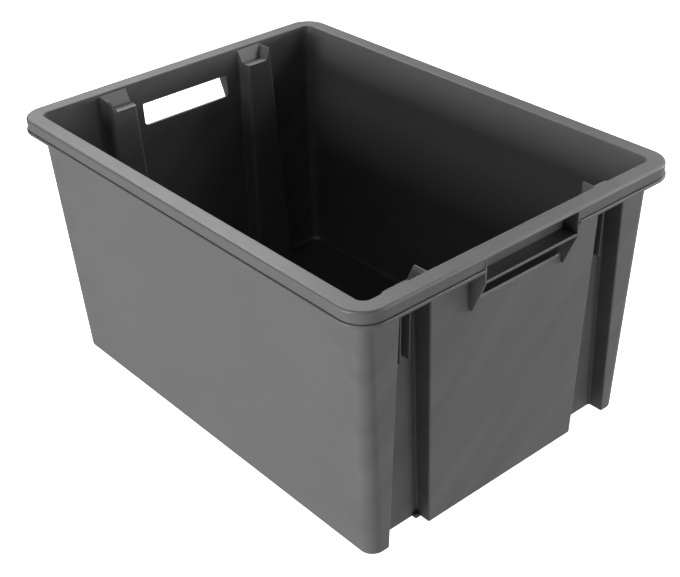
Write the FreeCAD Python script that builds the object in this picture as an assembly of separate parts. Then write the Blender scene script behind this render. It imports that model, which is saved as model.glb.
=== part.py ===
import FreeCAD, Part
import math
import os

# Stacking and nesting storage crate, one polypropylene moulding, written out region by region.
# Frame: millimetres, origin at the centre of the footprint on the floor, +X along the length
# towards the right end, +Y towards the rear long wall, +Z up.
# Turned half a turn, one crate stands on the column tops of another; not turned, it nests.

Vector = FreeCAD.Vector

# Rim, the largest part of the crate
RIM_LENGTH = 600.0
RIM_WIDTH = 440.0
HEIGHT = 314.0
RIM_BAND = 21.0
RIM_CORNER = 31.0
DECK = 3.0
DECK_OUTER_ROUND = 2.8
DECK_INNER_ROUND = 1.2
SKIRT = 2.5
BEAD_REACH = 1.2
BEAD_BOTTOM = 296.2
BEAD_HEIGHT = 4.4
BEAD_TOP_ROUND = 1.4
BEAD_FOOT_ROUND = 1.6
GROOVE_DEPTH = 0.8
SKIRT_TAPER = 0.5

# Drafted body
WALL = 3.0
BASE = 3.0
DRAFT = math.tan(math.radians(2.2))
FOOT_CORNER = 16.0
BASE_COVE = 5.0
FOOT_ROUND = 1.5
MOUTH_ROUND = 1.8

# Columns: each is a wall folded inwards round an open channel on the outside of an end wall
COLUMN_WALL = 2.5
CHANNEL_CORNER = 2.5
CHANNEL_FACE_FOOT = 252.0
CHANNEL_FACE_SLOPE = 0.0212
RIGHT_HALF_FOOT = 27.5
RIGHT_HALF_SLOPE = 0.0304
RIGHT_COLUMN_Y = 137.5
LEFT_HALF_FOOT = 27.0
LEFT_HALF_SLOPE = 0.0383
LEFT_COLUMN_Y = 102.0
ROOT_ROUND = 2.0
FACE_EDGE = 4.0

# Stacking seats on the column tops: a flat, a ramp behind it up to the rim, a high fin beside it
SEAT_TOP = 296.0
SEAT_PLATE = 2.5
SEAT_CLEARANCE = 0.5
SEAT_ROUND = 2.5
FIN_TOP = 309.8
FIN_FOOT = 8.5
FIN_CREST = 0.9
FIN_LEAN = 2.2

# Ribs standing in each channel below the seat
RIB = 1.8
RIB_OFFSET = 6.0
RIB_FOOT = 214.0
RIB_SETBACK = 12.5

# Hand grips in both end walls
GRIP_HALF_WIDTH = 66.0
GRIP_PLATE = 2.5
SHELF_TOP = 287.0
SHELF = 3.5
SHELF_REACH = 299.0
SLOT_HALF_WIDTH = 63.0
SLOT_BOTTOM = 255.0
SLOT_ROUND = 5.0
SLOT_TOP_ROUND = 1.0
SHELF_ROUND = 1.2
GUSSET_ROUND = 4.0
GUSSET_FOOT = 246.5
GUSSET_TOE = 3.5
GUSSET_TOE_ROUND = 2.5
LIP_FOOT = 244.5
LIP_SLANT = 1.5
LIP = 0.8

# Small lugs at the foot of the channels, beside the end panels
LUG_WIDTH = 6.5
LUG_DEPTH = 5.5
LUG_HEIGHT = 5.0
LUG_ROUND = 2.5

# Where the long walls and the left wings end and the corner posts start
POST_START_X = 250.0
POST_START_Y = 168.0

DECK_BOTTOM = HEIGHT - DECK
OPEN_HALF_X = RIM_LENGTH / 2 - RIM_BAND
OPEN_HALF_Y = RIM_WIDTH / 2 - RIM_BAND
OPEN_CORNER = RIM_CORNER - RIM_BAND
SLOT_TOP = SHELF_TOP - SHELF
SEAT_UNDERSIDE = SEAT_TOP - SEAT_PLATE
FAR = 340.0
ABOVE = HEIGHT + 20.0
CLIMB = 100.0
CLOSE = 0.01

os.makedirs("parts", exist_ok=True)


def wall_x(z, inset=0.0):
    """Half length of the drafted body at height z, measured to the outer face."""
    return OPEN_HALF_X + WALL - (DECK_BOTTOM - z) * DRAFT - inset


def wall_y(z, inset=0.0):
    """Half width of the drafted body at height z, measured to the outer face."""
    return OPEN_HALF_Y + WALL - (DECK_BOTTOM - z) * DRAFT - inset


def channel_face(z):
    """Distance from the middle of the crate to the back of a channel at height z."""
    return CHANNEL_FACE_FOOT + CHANNEL_FACE_SLOPE * z


def channel_half(end, z):
    """Half width of the channels of one end at height z."""
    if end > 0:
        return RIGHT_HALF_FOOT - RIGHT_HALF_SLOPE * z
    return LEFT_HALF_FOOT - LEFT_HALF_SLOPE * z


def outline(points, radii):
    """A closed flat wire through the points, each corner rounded by its own radius."""
    count = len(points)
    enters = []
    leaves = []
    edges = []
    for index, corner in enumerate(points):
        back = (points[index - 1] - corner).normalize()
        ahead = (points[(index + 1) % count] - corner).normalize()
        half = back.getAngle(ahead) / 2
        reach = radii[index] / math.tan(half)
        enters.append(corner + back * reach)
        leaves.append(corner + ahead * reach)
    for index, corner in enumerate(points):
        radius = radii[index]
        if radius > 0:
            back = (points[index - 1] - corner).normalize()
            ahead = (points[(index + 1) % count] - corner).normalize()
            half = back.getAngle(ahead) / 2
            inward = (back + ahead).normalize()
            middle = corner + inward * (radius / math.sin(half) - radius)
            edges.append(Part.Arc(enters[index], middle, leaves[index]).toShape())
        following = enters[(index + 1) % count]
        if (following - leaves[index]).Length > 1e-6:
            edges.append(Part.LineSegment(leaves[index], following).toShape())
    return Part.Wire(edges)


def plate(points, radii, direction):
    """The solid swept by a rounded flat outline along a direction."""
    return Part.Face(outline(points, radii)).extrude(direction)


def loft(low, high):
    """A solid with straight sides between two outlines."""
    return Part.makeLoft([low, high], True, True)


def block(x_range, y_range, z_range):
    """A box between three pairs of limits, given in any order."""
    low = Vector(min(x_range), min(y_range), min(z_range))
    high = Vector(max(x_range), max(y_range), max(z_range))
    size = high - low
    return Part.makeBox(size.x, size.y, size.z, low)


def xz_plate(profile, radii, y_low, y_high):
    """A plate between two values of y, with its outline given as (x, z) pairs."""
    points = [Vector(x, y_low, z) for x, z in profile]
    return plate(points, radii, Vector(0, y_high - y_low, 0))


def body_outline(z, inset, radius):
    """The body's rounded rectangular section at height z, inset from its outer face."""
    half_x = wall_x(z, inset)
    half_y = wall_y(z, inset)
    signs = ((1, -1), (1, 1), (-1, 1), (-1, -1))
    points = [Vector(sign_x * half_x, sign_y * half_y, z) for sign_x, sign_y in signs]
    return outline(points, [radius] * 4)


def channel_outline(end, centre, z, grow, far):
    """A channel's section at height z, grown outwards by a thickness."""
    face = end * (channel_face(z) - grow)
    low = centre - channel_half(end, z) - grow
    high = centre + channel_half(end, z) + grow
    points = [
        Vector(end * far, low, z),
        Vector(face, low, z),
        Vector(face, high, z),
        Vector(end * far, high, z),
    ]
    radius = CHANNEL_CORNER + grow
    return outline(points, [0, radius, radius, 0])


def channel_solid(end, centre, low, high, grow=0.0):
    """The tapered space of a channel between two heights, open to the outside."""
    bottom = channel_outline(end, centre, low, grow, FAR)
    top = channel_outline(end, centre, high, grow, FAR)
    return loft(bottom, top)


def edges_where(shape, test):
    """The edges of a shape whose two ends both meet a test."""
    return [edge for edge in shape.Edges if all(test(vertex.Point) for vertex in edge.Vertexes)]


def upright_edges(shape, inset):
    """The climbing edges, beside the columns, of the end faces inset from the outer face."""
    found = []
    for edge in shape.Edges:
        ends = [vertex.Point for vertex in edge.Vertexes]
        climbs = abs(ends[0].z - ends[-1].z) > CLIMB
        on_end_face = all(abs(abs(p.x) - wall_x(p.z, inset)) < CLOSE for p in ends)
        beside_column = max(abs(p.y) for p in ends) < POST_START_Y
        if climbs and on_end_face and beside_column:
            found.append(edge)
    return found


COLUMNS = [
    ("front_right", 1, -RIGHT_COLUMN_Y, 1),
    ("rear_right", 1, RIGHT_COLUMN_Y, -1),
    ("front_left", -1, -LEFT_COLUMN_Y, -1),
    ("rear_left", -1, LEFT_COLUMN_Y, 1),
]
# The last value is the side of the column, along Y, that carries its high fin.


def outer_form():
    """The outside of the body, with its four channels cut in and their mouths rounded."""
    form = loft(body_outline(0, 0, FOOT_CORNER), body_outline(DECK_BOTTOM, 0, OPEN_CORNER + WALL))
    form = form.makeFillet(FOOT_ROUND, edges_where(form, lambda point: abs(point.z) < 0.01))
    form = form.cut([channel_solid(end, centre, -1.0, ABOVE) for _, end, centre, _ in COLUMNS])
    return form.makeFillet(MOUTH_ROUND, upright_edges(form, 0))


def inner_form():
    """The space inside the crate, left clear by the four columns."""
    space = loft(
        body_outline(BASE, WALL, FOOT_CORNER - WALL),
        body_outline(DECK_BOTTOM, WALL, OPEN_CORNER),
    )
    space = space.makeFillet(BASE_COVE, edges_where(space, lambda point: abs(point.z - BASE) < CLOSE))
    columns = [
        channel_solid(end, centre, -1.0, ABOVE, COLUMN_WALL) for _, end, centre, _ in COLUMNS
    ]
    space = space.cut(columns)
    return space.makeFillet(ROOT_ROUND, upright_edges(space, WALL))


def seat_room(end, centre, fin_side):
    """The open space above a seat: over the flat, over its ramp and beside the high fin."""
    half = channel_half(end, SEAT_TOP) + COLUMN_WALL
    low_y = centre - fin_side * half
    high_y = centre + fin_side * half
    crest_y = centre + fin_side * (channel_half(end, FIN_TOP) + COLUMN_WALL - FIN_CREST)
    past = fin_side * WALL
    across = [
        (low_y - past, SEAT_TOP),
        (high_y - fin_side * FIN_FOOT, SEAT_TOP),
        (crest_y, FIN_TOP),
        (high_y + past, FIN_TOP),
        (high_y + past, ABOVE),
        (low_y - past, ABOVE),
    ]
    face = channel_face(SEAT_TOP) - COLUMN_WALL
    near = face - WALL
    points = [Vector(end * near, y, z) for y, z in across]
    beside_fin = plate(points, [0] * len(points), Vector(end * FAR, 0, 0))
    ramp_foot = wall_x(0) + SEAT_CLEARANCE
    before_ramp = [
        (end * near, SEAT_TOP),
        (end * ramp_foot, SEAT_TOP),
        (end * OPEN_HALF_X, DECK_BOTTOM),
        (end * OPEN_HALF_X, ABOVE),
        (end * near, ABOVE),
    ]
    radii = [0, SEAT_ROUND, 0, 0, 0]
    over_seat = beside_fin.common(xz_plate(before_ramp, radii, low_y - past, high_y + past))
    before_fin = [
        (end * near, SEAT_TOP),
        (end * face, SEAT_TOP),
        (end * (face + FIN_LEAN), FIN_TOP),
        (end * (face + FIN_LEAN), ABOVE),
        (end * near, ABOVE),
    ]
    return over_seat.fuse(xz_plate(before_fin, [0] * len(before_fin), low_y - past, high_y + past))


def seat_form(end, centre):
    """All that lies inside a column above the seat's underside and in front of the ramp's back."""
    rise = DECK_BOTTOM - SEAT_TOP
    run = OPEN_HALF_X - wall_x(0) - SEAT_CLEARANCE
    back_shift = SEAT_PLATE * math.hypot(rise, run) / rise
    knee = wall_x(0) + SEAT_CLEARANCE + back_shift - SEAT_PLATE * run / rise
    profile = [
        (0, SEAT_UNDERSIDE),
        (end * knee, SEAT_UNDERSIDE),
        (end * (OPEN_HALF_X + back_shift), DECK_BOTTOM),
        (0, DECK_BOTTOM),
    ]
    core = channel_solid(end, centre, SEAT_UNDERSIDE, DECK_BOTTOM)
    return core.common(xz_plate(profile, [0, SEAT_ROUND, 0, 0], -FAR, FAR))


def rib_pair(end, centre):
    """The two thin ribs that stand in a channel, under its seat."""
    space = channel_solid(end, centre, RIB_FOOT, SEAT_UNDERSIDE)
    profile = [
        (end * (channel_face(RIB_FOOT) - CHANNEL_CORNER), RIB_FOOT),
        (end * (wall_x(RIB_FOOT) - RIB_SETBACK), RIB_FOOT),
        (end * (wall_x(SEAT_UNDERSIDE) - RIB_SETBACK), SEAT_UNDERSIDE),
        (end * (channel_face(SEAT_UNDERSIDE) - CHANNEL_CORNER), SEAT_UNDERSIDE),
    ]
    ribs = []
    for side in (-1, 1):
        middle = centre + side * RIB_OFFSET
        rib = xz_plate(profile, [0] * len(profile), middle - RIB / 2, middle + RIB / 2)
        ribs.append(rib.common(space))
    return Part.makeCompound(ribs)


def foot_lugs():
    """The small lugs at the foot of each channel, on the side of the end panel."""
    lugs = []
    for _, end, centre, _ in COLUMNS:
        towards_middle = -1 if centre > 0 else 1
        start = centre + towards_middle * channel_half(end, 0)
        inner = channel_face(0) - CHANNEL_CORNER
        outer = channel_face(0) + LUG_DEPTH
        stop = start - towards_middle * LUG_WIDTH
        beyond = start + towards_middle * CHANNEL_CORNER
        points = [
            Vector(end * inner, beyond, 0),
            Vector(end * outer, beyond, 0),
            Vector(end * outer, stop, 0),
            Vector(end * inner, stop, 0),
        ]
        lug = plate(points, [0, 0, LUG_ROUND, 0], Vector(0, 0, LUG_HEIGHT))
        lugs.append(lug.common(channel_solid(end, centre, 0, LUG_HEIGHT)))
    return Part.makeCompound(lugs)


def hand_slot(end):
    """The hole for the fingers through an end wall."""
    points = [
        Vector(end * POST_START_X, -SLOT_HALF_WIDTH, SLOT_BOTTOM),
        Vector(end * POST_START_X, SLOT_HALF_WIDTH, SLOT_BOTTOM),
        Vector(end * POST_START_X, SLOT_HALF_WIDTH, SLOT_TOP),
        Vector(end * POST_START_X, -SLOT_HALF_WIDTH, SLOT_TOP),
    ]
    through = Vector(end * (FAR - POST_START_X), 0, 0)
    return plate(points, [SLOT_ROUND, SLOT_ROUND, SLOT_TOP_ROUND, SLOT_TOP_ROUND], through)


def slot_lip(end):
    """The low pad under a hand slot, between the feet of the gussets."""
    slanted = LIP_FOOT + LIP_SLANT
    top = SLOT_BOTTOM + SLOT_ROUND
    profile = [
        (end * wall_x(LIP_FOOT, LIP), LIP_FOOT - LIP_SLANT),
        (end * wall_x(slanted, -LIP), slanted),
        (end * wall_x(top, -LIP), top),
        (end * wall_x(top, LIP), top),
    ]
    width = GRIP_HALF_WIDTH - GRIP_PLATE
    return xz_plate(profile, [0] * len(profile), -width, width)


def grip_shelf(end):
    """The shelf that the hand lifts, from the end wall out to the skirt's plane."""
    inner = wall_x(SLOT_TOP)
    profile = [
        (end * inner, SLOT_TOP),
        (end * SHELF_REACH, SLOT_TOP),
        (end * SHELF_REACH, SHELF_TOP),
        (end * wall_x(SHELF_TOP), SHELF_TOP),
    ]
    width = GRIP_HALF_WIDTH - GRIP_PLATE
    return xz_plate(profile, [0, SHELF_ROUND, SHELF_ROUND, 0], -width, width)


def grip_gussets(end):
    """The two webs that close the ends of a grip and brace its shelf."""
    profile = [
        (end * wall_x(GUSSET_FOOT), GUSSET_FOOT),
        (end * (wall_x(GUSSET_FOOT) + GUSSET_TOE), GUSSET_FOOT),
        (end * SHELF_REACH, SLOT_TOP),
        (end * SHELF_REACH, DECK_BOTTOM),
        (end * wall_x(DECK_BOTTOM), DECK_BOTTOM),
    ]
    radii = [0, GUSSET_TOE_ROUND, GUSSET_ROUND, 0, 0]
    gussets = []
    for side in (-1, 1):
        outside = side * GRIP_HALF_WIDTH
        inside = side * (GRIP_HALF_WIDTH - GRIP_PLATE)
        gussets.append(xz_plate(profile, radii, inside, outside))
    return Part.makeCompound(gussets)


def deck_profile():
    """The rim deck's section as (distance out from the opening, height) pairs, with radii."""
    reach = RIM_BAND - BEAD_REACH
    points = [(0, DECK_BOTTOM), (0, HEIGHT), (reach, HEIGHT), (reach, DECK_BOTTOM)]
    return points, [0, DECK_INNER_ROUND, DECK_OUTER_ROUND, 0]


def skirt_profile():
    """The skirt's section below the deck, with its groove and the bead under it."""
    reach = RIM_BAND - BEAD_REACH
    bead_top = BEAD_BOTTOM + BEAD_HEIGHT
    neck = reach - SKIRT_TAPER
    points = [
        (reach, DECK_BOTTOM),
        (neck, bead_top + GROOVE_DEPTH),
        (neck - GROOVE_DEPTH, bead_top + GROOVE_DEPTH / 2),
        (neck - GROOVE_DEPTH, bead_top),
        (RIM_BAND, bead_top - GROOVE_DEPTH / 2),
        (RIM_BAND, BEAD_BOTTOM),
        (reach - SKIRT, BEAD_BOTTOM),
        (reach - SKIRT, DECK_BOTTOM),
    ]
    return points, [0, 0, 0, 0, BEAD_TOP_ROUND, BEAD_FOOT_ROUND, 0, 0]


def side_run(profile, axis, side, low, high):
    """A rim section run straight along one side, between two positions."""
    points, radii = profile
    placed = []
    for out, z in points:
        if axis == "x":
            placed.append(Vector(low, side * (OPEN_HALF_Y + out), z))
        else:
            placed.append(Vector(side * (OPEN_HALF_X + out), low, z))
    direction = Vector(high - low, 0, 0) if axis == "x" else Vector(0, high - low, 0)
    return plate(placed, radii, direction)


def corner_turn(profile, sign_x, sign_y):
    """A rim section turned a quarter round one corner of the opening."""
    points, radii = profile
    pivot = Vector(sign_x * (OPEN_HALF_X - OPEN_CORNER), sign_y * (OPEN_HALF_Y - OPEN_CORNER), 0)
    placed = [pivot + Vector(sign_x * (OPEN_CORNER + out), 0, z) for out, z in points]
    section = Part.Face(outline(placed, radii))
    return section.revolve(pivot, Vector(0, 0, sign_x * sign_y), 90)


def save(name, shape):
    """Write one region of the moulding to its own file."""
    solids = shape.Solids
    whole = solids[0] if len(solids) == 1 else Part.makeCompound(solids)
    print(name, len(solids), round(whole.Volume), whole.isValid())
    whole.exportStep("parts/" + name + ".step")


def half(side):
    """The name of a side of the crate."""
    return {-1: "front", 1: "rear"}[side]


def hand(end):
    """The name of an end of the crate."""
    return {-1: "left", 1: "right"}[end]


def build_body():
    """The base, the walls and everything folded into them."""
    lips = [slot_lip(end) for end in (-1, 1)]
    shell = outer_form().fuse(lips).cut(inner_form())
    rooms = [seat_room(end, centre, fin_side) for _, end, centre, fin_side in COLUMNS]
    shell = shell.cut(rooms + [hand_slot(end) for end in (-1, 1)])
    base = shell.common(block((-FAR, FAR), (-FAR, FAR), (-1.0, BASE)))
    save("base_panel", base)
    save("foot_lugs", foot_lugs())
    walls = shell.common(block((-FAR, FAR), (-FAR, FAR), (BASE, DECK_BOTTOM)))
    zones = []
    for (place, end, centre, _), room in zip(COLUMNS, rooms):
        zone = channel_solid(end, centre, BASE, DECK_BOTTOM, COLUMN_WALL)
        zones.append(zone)
        build_column(place, end, centre, walls.common(zone))
        save("stacking_seat_" + place, seat_form(end, centre).cut(room))
    plain = walls.cut(zones)
    build_plain_walls(plain)


def build_column(place, end, centre, folded):
    """One column's folded wall: its face and its two cheeks, and the ribs behind it."""
    front = [
        (0, 0),
        (end * (channel_face(0) + FACE_EDGE), 0),
        (end * (channel_face(ABOVE) + FACE_EDGE), ABOVE),
        (0, ABOVE),
    ]
    slab = xz_plate(front, [0] * len(front), -FAR, FAR)
    save("column_face_" + place, folded.common(slab))
    cheeks = folded.cut(slab)
    towards_middle = block((-FAR, FAR), (0, centre), (0, ABOVE))
    save("column_inner_cheek_" + place, cheeks.common(towards_middle))
    save("column_outer_cheek_" + place, cheeks.cut(towards_middle))
    save("channel_ribs_" + place, rib_pair(end, centre))


def build_plain_walls(plain):
    """The long walls, the corner posts, the wings and the end panels."""
    for side in (-1, 1):
        y_range = (side * POST_START_Y, side * FAR)
        middle = block((-POST_START_X, POST_START_X), y_range, (0, ABOVE))
        save(half(side) + "_wall", plain.common(middle))
        for end in (-1, 1):
            first_y = RIGHT_COLUMN_Y if end > 0 else POST_START_Y
            y_range = (side * first_y, side * FAR)
            corner = block((end * POST_START_X, end * FAR), y_range, (0, ABOVE))
            save("corner_post_" + half(side) + "_" + hand(end), plain.common(corner))
        wing = block((-POST_START_X, -FAR), (side * LEFT_COLUMN_Y, side * POST_START_Y), (0, ABOVE))
        save("left_wing_" + half(side), plain.common(wing))
    for end in (-1, 1):
        reach = LEFT_COLUMN_Y if end < 0 else RIGHT_COLUMN_Y
        panel = block((end * POST_START_X, end * FAR), (-reach, reach), (0, ABOVE))
        save(hand(end) + "_end_panel", plain.common(panel))


def build_rim():
    """The deck and the skirt that run round the top of the walls."""
    along_x = OPEN_HALF_X - OPEN_CORNER
    along_y = OPEN_HALF_Y - OPEN_CORNER
    for side in (-1, 1):
        save("rim_deck_" + half(side), side_run(deck_profile(), "x", side, -along_x, along_x))
        save("rim_skirt_" + half(side), side_run(skirt_profile(), "x", side, -along_x, along_x))
    for end in (-1, 1):
        save("rim_deck_" + hand(end), side_run(deck_profile(), "y", end, -along_y, along_y))
        runs = [
            side_run(skirt_profile(), "y", end, side * GRIP_HALF_WIDTH, side * along_y)
            for side in (-1, 1)
        ]
        save("rim_skirt_" + hand(end), Part.makeCompound(runs))
        for side in (-1, 1):
            place = half(side) + "_" + hand(end)
            save("rim_deck_corner_" + place, corner_turn(deck_profile(), end, side))
            save("rim_skirt_corner_" + place, corner_turn(skirt_profile(), end, side))


def build_grips():
    """The shelf and the gussets of both hand grips."""
    for end in (-1, 1):
        save("grip_shelf_" + hand(end), grip_shelf(end))
        save("grip_gussets_" + hand(end), grip_gussets(end))


build_body()
build_rim()
build_grips()
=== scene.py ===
import math

import bmesh
import bpy
from mathutils import Matrix, Vector
from mathutils.bvhtree import BVHTree


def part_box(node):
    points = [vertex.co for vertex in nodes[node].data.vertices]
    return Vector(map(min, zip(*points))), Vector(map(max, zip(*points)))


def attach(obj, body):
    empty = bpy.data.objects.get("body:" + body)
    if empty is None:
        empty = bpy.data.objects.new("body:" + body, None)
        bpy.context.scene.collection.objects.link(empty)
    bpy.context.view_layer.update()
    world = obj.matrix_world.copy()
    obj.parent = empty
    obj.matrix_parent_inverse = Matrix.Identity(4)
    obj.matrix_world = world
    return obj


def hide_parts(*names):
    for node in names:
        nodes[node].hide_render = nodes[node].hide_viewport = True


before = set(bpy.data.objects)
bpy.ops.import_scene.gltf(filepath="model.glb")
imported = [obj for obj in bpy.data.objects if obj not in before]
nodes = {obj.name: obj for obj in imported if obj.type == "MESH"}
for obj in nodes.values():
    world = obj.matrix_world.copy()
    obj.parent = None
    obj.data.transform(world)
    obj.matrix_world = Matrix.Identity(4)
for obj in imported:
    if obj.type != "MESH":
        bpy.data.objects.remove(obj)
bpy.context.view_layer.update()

MM = 0.001
BODY = "root"

# Camera: the point it looks at, from which side and how far away (metres and degrees), and its
# lens and sensor width (millimetres)
LOOK_AT = Vector((0.0172, -0.0078, 0.1279))
AZIMUTH = 50.5
ELEVATION = 31.92
ROLL = -2.37
DISTANCE = 1.503
LENS = 68.9
SENSOR = 36.0

# All lights look at one point, at about half the crate's height, from this far away (metres)
LIGHT_DISTANCE = 2.6
LIGHT_AIM = Vector((0, 0, 0.15))
# Soft boxes all round the crate, low on the seen sides so that the inside stays dark:
# name, azimuth and elevation in degrees, width and height in metres, watts
SOFTBOXES = [
    ("key", -5, 5, 1.2, 0.5, 55),
    ("key_high", 0, 20, 1.2, 0.5, 10),
    ("side", 105, 5, 1.2, 0.5, 15),
    ("far_side", 155, 5, 1.2, 0.5, 40),
    ("back_right", 185, 40, 1.2, 0.8, 30),
    ("back_left", 250, 45, 1.2, 0.8, 45),
]
# Lights that only show as a sheen, on ramps and on rounded edges
SHEENS = [
    ("ramp_sheen", 130, 30, 0.8, 0.6, 25),
    ("edge_sheen", 20, 50, 0.8, 0.6, 15),
]
# The white floor with its backdrop, the glow that comes back from the ground, and the dim room
# (half widths and height in metres)
WHITE = (1, 1, 1, 1)
FLOOR_REACH = 12.0
FLOOR_GREY = 0.86
FLOOR_GLOW = 1.0
BACKDROP_HEIGHT = 7.0
BOUNCE_REACH = 3.0
BOUNCE_GLOW = 0.4
ROOM_GLOW = 0.004

# Softened edges of the moulding. An edge is sharp above SHARP_ANGLE; faces are joined below
# FLAT_ANGLE and points within SAME_POINT; two nodes touch within TOUCHING
EDGE_ROUND = 0.8 * MM
EDGE_STEPS = 3
EDGE_PROFILE = 0.5
SHARP_ANGLE = math.radians(32)
FLAT_ANGLE = math.radians(0.4)
SAME_POINT = 0.002 * MM
TOUCHING = 0.05 * MM

# Plastic: its tone runs between two greys, and its roughness between two values
DARK_GREY = (0.112, 0.112, 0.114, 1)
LIGHT_GREY = (0.148, 0.148, 0.149, 1)
ROUGHNESS = (0.39, 0.52)
PLASTIC_IOR = 1.49

# Noise in the plastic: scale, detail and roughness of each pattern
MOTTLE = (9.0, 5.0, 0.6)
GLOSS = (35.0, 6.0, 0.65)
STREAKS = (42.0, 2.0, 0.5)
GRAIN = (2200.0, 2.0, 0.5)
WAVES = (14.0, 2.0, 0.4)
MOTTLE_SHARE = 0.5
GRAIN_STRENGTH = 0.12
GRAIN_DEPTH = 0.05 * MM
WAVE_STRENGTH = 0.25
WAVE_DEPTH = 0.4 * MM

# Flow marks of the moulding: they lean by an angle about x, and stretch along x, along the
# mark and across it
FLOW_ANGLE = math.radians(41)
FLOW_STRETCH = (2.0, 8.0, 1.0)
# Along the crate they grow from faint to full between two distances from its middle (metres),
# so the end walls show them most
FLOW_START = 0.22
FLOW_END = 0.26
FLOW_FAINT = 0.15
FLOW_FULL = 1.0
# What they add to the tone: an even amount where there are none, and up to a peak over a band
# of the streak noise where they are full
FLOW_EVEN = 0.35
FLOW_PEAK = 0.7
STREAK_BAND = (0.3, 0.7)


def rounded_nodes():
    """The nodes with bare corners, which get their small moulded radii here."""
    starts = ("stacking_seat", "column_face", "column_inner", "column_outer", "channel_ribs")
    starts += ("grip_", "rim_skirt_left", "rim_skirt_right", "foot_lugs")
    starts += ("left_end_panel", "right_end_panel")
    return [name for name in sorted(nodes) if name.startswith(starts)]


def surface_tree(node):
    """A search tree over a node's surface."""
    mesh = node.data
    points = [vertex.co.copy() for vertex in mesh.vertices]
    return BVHTree.FromPolygons(points, [tuple(face.vertices) for face in mesh.polygons])


def near_boxes(name):
    """The other nodes whose boxes touch this node's box."""
    low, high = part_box(name)
    near = []
    for other in nodes:
        if other != name:
            other_low, other_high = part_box(other)
            gap = [max(other_low[i] - high[i], low[i] - other_high[i]) for i in range(3)]
            if max(gap) < TOUCHING:
                near.append(other)
    return near


def soften(name, trees, material):
    """A copy of a node whose free corners are rounded; seams to its neighbours stay as they are."""
    mesh = nodes[name].data.copy()
    mesh.name = name + "_moulded"
    piece = bpy.data.objects.new(name + "_moulded", mesh)
    bpy.context.collection.objects.link(piece)
    form = bmesh.new()
    form.from_mesh(mesh)
    bmesh.ops.remove_doubles(form, verts=form.verts, dist=SAME_POINT)
    bmesh.ops.dissolve_limit(form, angle_limit=FLAT_ANGLE, verts=form.verts, edges=form.edges)
    neighbours = [trees[other] for other in near_boxes(name)]
    free = []
    for edge in form.edges:
        if len(edge.link_faces) == 2 and edge.calc_face_angle(0) > SHARP_ANGLE:
            middle = (edge.verts[0].co + edge.verts[1].co) / 2
            nearest = [tree.find_nearest(middle, TOUCHING)[0] for tree in neighbours]
            if not any(point is not None for point in nearest):
                free.append(edge)
    bmesh.ops.bevel(
        form,
        geom=free,
        offset=EDGE_ROUND,
        offset_type="OFFSET",
        segments=EDGE_STEPS,
        profile=EDGE_PROFILE,
        affect="EDGES",
        clamp_overlap=True,
    )
    form.to_mesh(mesh)
    form.free()
    if "custom_normal" in mesh.attributes:
        mesh.attributes.remove(mesh.attributes["custom_normal"])
    mesh.shade_smooth()
    mesh.set_sharp_from_angle(angle=SHARP_ANGLE)
    weighted = piece.modifiers.new("weighted_normals", "WEIGHTED_NORMAL")
    weighted.keep_sharp = True
    mesh.materials.clear()
    mesh.materials.append(material)
    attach(piece, BODY)
    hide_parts(name)


def link(material, source, target):
    """Joins an output socket to an input socket in a material."""
    material.node_tree.links.new(source, target)


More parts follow.
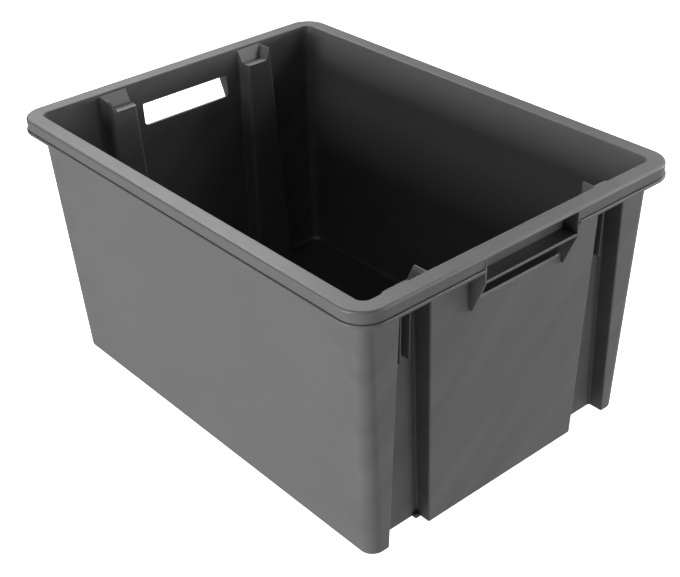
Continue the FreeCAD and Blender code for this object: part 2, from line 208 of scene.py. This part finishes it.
def polypropylene():
    """Satin grey polypropylene with a fine moulded grain and faint flow marks."""
    material = bpy.data.materials.new("grey_polypropylene")
    material.use_nodes = True
    tree = material.node_tree
    shader = tree.nodes["Principled BSDF"]
    shader.inputs["IOR"].default_value = PLASTIC_IOR
    place = tree.nodes.new("ShaderNodeTexCoord").outputs["Object"]

    flow = tree.nodes.new("ShaderNodeMapping")
    flow.vector_type = "TEXTURE"
    flow.inputs["Rotation"].default_value = (FLOW_ANGLE, 0, 0)
    flow.inputs["Scale"].default_value = FLOW_STRETCH
    link(material, place, flow.inputs["Vector"])

    def noise(pattern, vector=place):
        scale, detail, rough = pattern
        node = tree.nodes.new("ShaderNodeTexNoise")
        node.inputs["Scale"].default_value = scale
        node.inputs["Detail"].default_value = detail
        node.inputs["Roughness"].default_value = rough
        link(material, vector, node.inputs["Vector"])
        return node.outputs["Fac"]

    def ramp(source, low, high, start=0.0, stop=1.0):
        node = tree.nodes.new("ShaderNodeMapRange")
        node.inputs["From Min"].default_value = start
        node.inputs["From Max"].default_value = stop
        node.inputs["To Min"].default_value = low
        node.inputs["To Max"].default_value = high
        link(material, source, node.inputs["Value"])
        return node.outputs["Result"]

    # The tone: a broad mottle, plus the flow marks by how far a point is from the middle.
    # Sockets of the Mix node: 0 is the factor, 2 and 3 are two floats, 6 and 7 two colours
    tone = tree.nodes.new("ShaderNodeMix")
    tone.data_type = "RGBA"
    tone.inputs[6].default_value = DARK_GREY
    tone.inputs[7].default_value = LIGHT_GREY
    mottle = tree.nodes.new("ShaderNodeMath")
    mottle.operation = "MULTIPLY_ADD"
    mottle.inputs[1].default_value = MOTTLE_SHARE
    link(material, noise(MOTTLE), mottle.inputs[0])
    axes = tree.nodes.new("ShaderNodeSeparateXYZ")
    link(material, place, axes.inputs["Vector"])
    off_middle = tree.nodes.new("ShaderNodeMath")
    off_middle.operation = "ABSOLUTE"
    link(material, axes.outputs["X"], off_middle.inputs[0])
    share = ramp(off_middle.outputs["Value"], FLOW_FAINT, FLOW_FULL, FLOW_START, FLOW_END)
    marks = tree.nodes.new("ShaderNodeMix")
    marks.inputs[2].default_value = FLOW_EVEN
    link(material, share, marks.inputs[0])
    streaks = noise(STREAKS, flow.outputs["Vector"])
    link(material, ramp(streaks, 0.0, FLOW_PEAK, *STREAK_BAND), marks.inputs[3])
    link(material, marks.outputs[0], mottle.inputs[2])
    link(material, mottle.outputs["Value"], tone.inputs[0])
    link(material, tone.outputs[2], shader.inputs["Base Color"])
    link(material, ramp(noise(GLOSS), *ROUGHNESS), shader.inputs["Roughness"])

    # The surface: a fine grain on top of long, shallow waves
    grain = tree.nodes.new("ShaderNodeBump")
    grain.inputs["Strength"].default_value = GRAIN_STRENGTH
    grain.inputs["Distance"].default_value = GRAIN_DEPTH
    link(material, noise(GRAIN), grain.inputs["Height"])
    waves = tree.nodes.new("ShaderNodeBump")
    waves.inputs["Strength"].default_value = WAVE_STRENGTH
    waves.inputs["Distance"].default_value = WAVE_DEPTH
    link(material, noise(WAVES), waves.inputs["Height"])
    link(material, grain.outputs["Normal"], waves.inputs["Normal"])
    link(material, waves.outputs["Normal"], shader.inputs["Normal"])
    return material


def direction(azimuth, elevation):
    """The way from the crate towards a place given by two angles in degrees."""
    turn = math.radians(azimuth)
    rise = math.radians(elevation)
    level = math.cos(rise)
    return Vector((math.sin(turn) * level, -math.cos(turn) * level, math.sin(rise)))


def add_camera():
    """The camera, at the photograph's viewing angle."""
    back = direction(AZIMUTH, ELEVATION)
    roll = math.radians(ROLL)
    right = Vector((0, 0, 1)).cross(back).normalized()
    up = back.cross(right)
    tilted_right = math.cos(roll) * right + math.sin(roll) * up
    tilted_up = math.cos(roll) * up - math.sin(roll) * right
    data = bpy.data.cameras.new("camera")
    data.lens = LENS
    data.sensor_width = SENSOR
    camera = bpy.data.objects.new("camera", data)
    bpy.context.collection.objects.link(camera)
    axes = Matrix((tilted_right, tilted_up, back)).transposed()
    camera.matrix_world = Matrix.Translation(LOOK_AT + back * DISTANCE) @ axes.to_4x4()
    bpy.context.scene.camera = camera


def add_softbox(name, azimuth, elevation, width, height, power):
    """A large rectangular light that looks at the crate from one side."""
    data = bpy.data.lights.new(name, "AREA")
    data.shape = "RECTANGLE"
    data.size = width
    data.size_y = height
    data.energy = power
    light = bpy.data.objects.new(name, data)
    bpy.context.collection.objects.link(light)
    away = direction(azimuth, elevation)
    light.location = LIGHT_AIM + away * LIGHT_DISTANCE
    light.rotation_mode = "QUATERNION"
    light.rotation_quaternion = away.to_track_quat("Z", "Y")
    return light


def add_plane(name, reach, grey, glow, height=0.0):
    """A matt square on the ground that glows evenly; with a height, it has upright sides."""
    mesh = bpy.data.meshes.new(name)
    square = [(-reach, -reach), (reach, -reach), (reach, reach), (-reach, reach)]
    ground = [(0, 1, 2, 3)]
    if height > 0:
        corners = [(x, y, z) for z in (0, height) for x, y in square]
        sides = [(i, (i + 1) % 4, (i + 1) % 4 + 4, i + 4) for i in range(4)]
        mesh.from_pydata(corners, [], ground + sides)
    else:
        mesh.from_pydata([(x, y, 0) for x, y in square], [], ground)
    plane = bpy.data.objects.new(name, mesh)
    bpy.context.collection.objects.link(plane)
    material = bpy.data.materials.new(name)
    material.use_nodes = True
    shader = material.node_tree.nodes["Principled BSDF"]
    shader.inputs["Base Color"].default_value = (grey, grey, grey, 1)
    shader.inputs["Specular IOR Level"].default_value = 0.0
    shader.inputs["Emission Color"].default_value = WHITE
    shader.inputs["Emission Strength"].default_value = glow
    mesh.materials.append(material)
    return plane


def add_floor():
    """A white floor with a far white backdrop, and the unseen plane that lights from below."""
    floor = add_plane("white_floor", FLOOR_REACH, FLOOR_GREY, FLOOR_GLOW, BACKDROP_HEIGHT)
    floor.visible_diffuse = False
    floor.visible_glossy = False
    bounce = add_plane("floor_bounce", BOUNCE_REACH, 0.0, BOUNCE_GLOW)
    bounce.visible_camera = False
    bounce.visible_shadow = False


def add_light():
    """Soft studio light: low boxes on the seen sides, higher ones behind, sheens, a dim room."""
    for box in SOFTBOXES:
        add_softbox(*box)
    for box in SHEENS:
        light = add_softbox(*box)
        light.visible_diffuse = False
    world = bpy.data.worlds.new("studio")
    world.use_nodes = True
    room = world.node_tree.nodes["Background"]
    room.inputs["Color"].default_value = WHITE
    room.inputs["Strength"].default_value = ROOM_GLOW
    bpy.context.scene.world = world


bpy.context.scene.view_settings.view_transform = "Standard"
plastic = polypropylene()
for node in nodes.values():
    node.data.materials.clear()
    node.data.materials.append(plastic)
trees = {name: surface_tree(node) for name, node in nodes.items()}
for name in rounded_nodes():
    soften(name, trees, plastic)
add_camera()
add_floor()
add_light()
